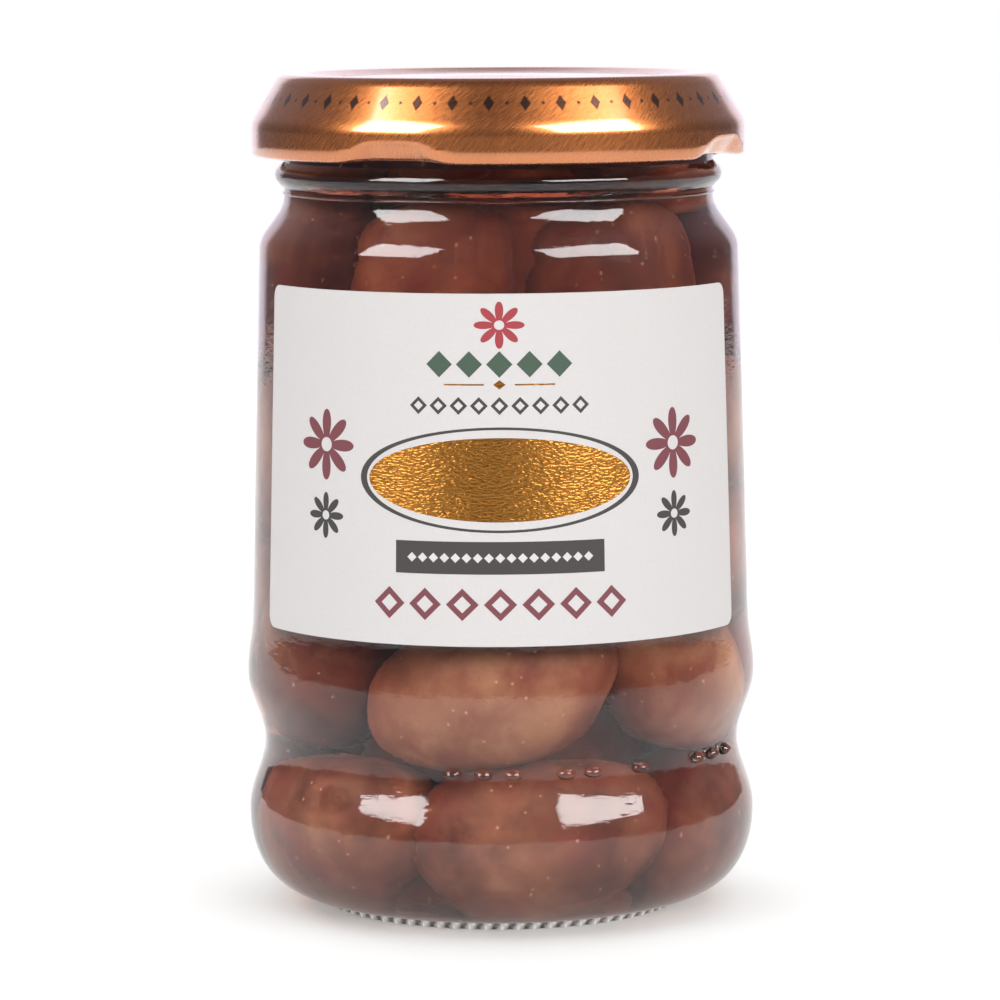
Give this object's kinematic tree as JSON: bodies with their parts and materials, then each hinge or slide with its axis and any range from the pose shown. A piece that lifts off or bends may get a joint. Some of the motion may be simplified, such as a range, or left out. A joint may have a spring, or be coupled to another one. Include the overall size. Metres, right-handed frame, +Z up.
{
  "type": "jar of olives",
  "caption": "Shut glass food jar with a bulged foot, a metal lug lid and a wrapped front label, packed with large brown olives.",
  "frame": {"origin": "middle of the foot, on the surface the jar stands on", "axes": "+Z up through the lid, the label faces -Y, +X to the right of the label"},
  "size_m": [0.0684, 0.0684, 0.1113],
  "materials": {
    "glass": "clear moulded container glass, smooth and shiny",
    "lid_lacquer": "gold lacquer on tinplate, satin, with fine drawn scratches",
    "label_paper": null,
    "olive_skin": "wet brown olive skin with small pale specks"
  },
  "bodies": {
    "root": {"jar": "glass", "lid": "lid_lacquer", "label": "label_paper", "olives": "olive_skin"}
  },
  "joints": []
}
